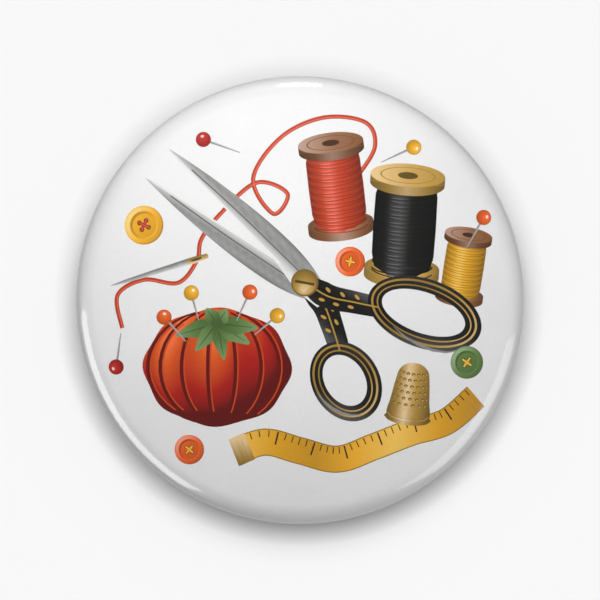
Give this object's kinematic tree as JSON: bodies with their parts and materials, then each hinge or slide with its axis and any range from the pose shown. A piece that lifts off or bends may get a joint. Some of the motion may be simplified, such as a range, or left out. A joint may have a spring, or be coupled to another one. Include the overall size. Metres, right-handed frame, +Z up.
{
  "type": "pin-back button badge",
  "caption": "Round domed badge: printed paper under clear film, crimped over a tinplate shell, with a lanced back plate and a hinged wire pin.",
  "frame": {"origin": "middle of the pin's straight shank, on its axis", "axes": "+Z up the badge as it is worn (top of the print), +X along the pin towards its point, the printed face looks along -Y and the pin lies on the +Y side"},
  "size_m": [0.058, 0.0079, 0.058],
  "materials": {
    "film": "clear gloss",
    "print": "printed, coated",
    "tinplate": "bright tinplate",
    "pin_wire": "nickel-plated spring steel"
  },
  "bodies": {
    "badge": {"clear_film": "film", "printed_disc": "print", "front_shell": "tinplate", "back_plate": "tinplate", "wire_anchor": "pin_wire"},
    "swivel": {"wire_hinge": "pin_wire"},
    "pin": {"pin_leg": "pin_wire"}
  },
  "joints": [
    {"name": "pin_swing", "type": "hinge", "parent": "badge", "child": "swivel", "pos_m": [-0.0166, -0.00019, -0.00159], "axis": [0, 0.12, 0.9928], "range_deg": [0, 50]},
    {"name": "pin_unhook", "type": "hinge", "parent": "swivel", "child": "pin", "pos_m": [-0.0166, -0.00019, -0.00159], "axis": [0, -0.9928, 0.12], "range_deg": [0, 5]}
  ]
}
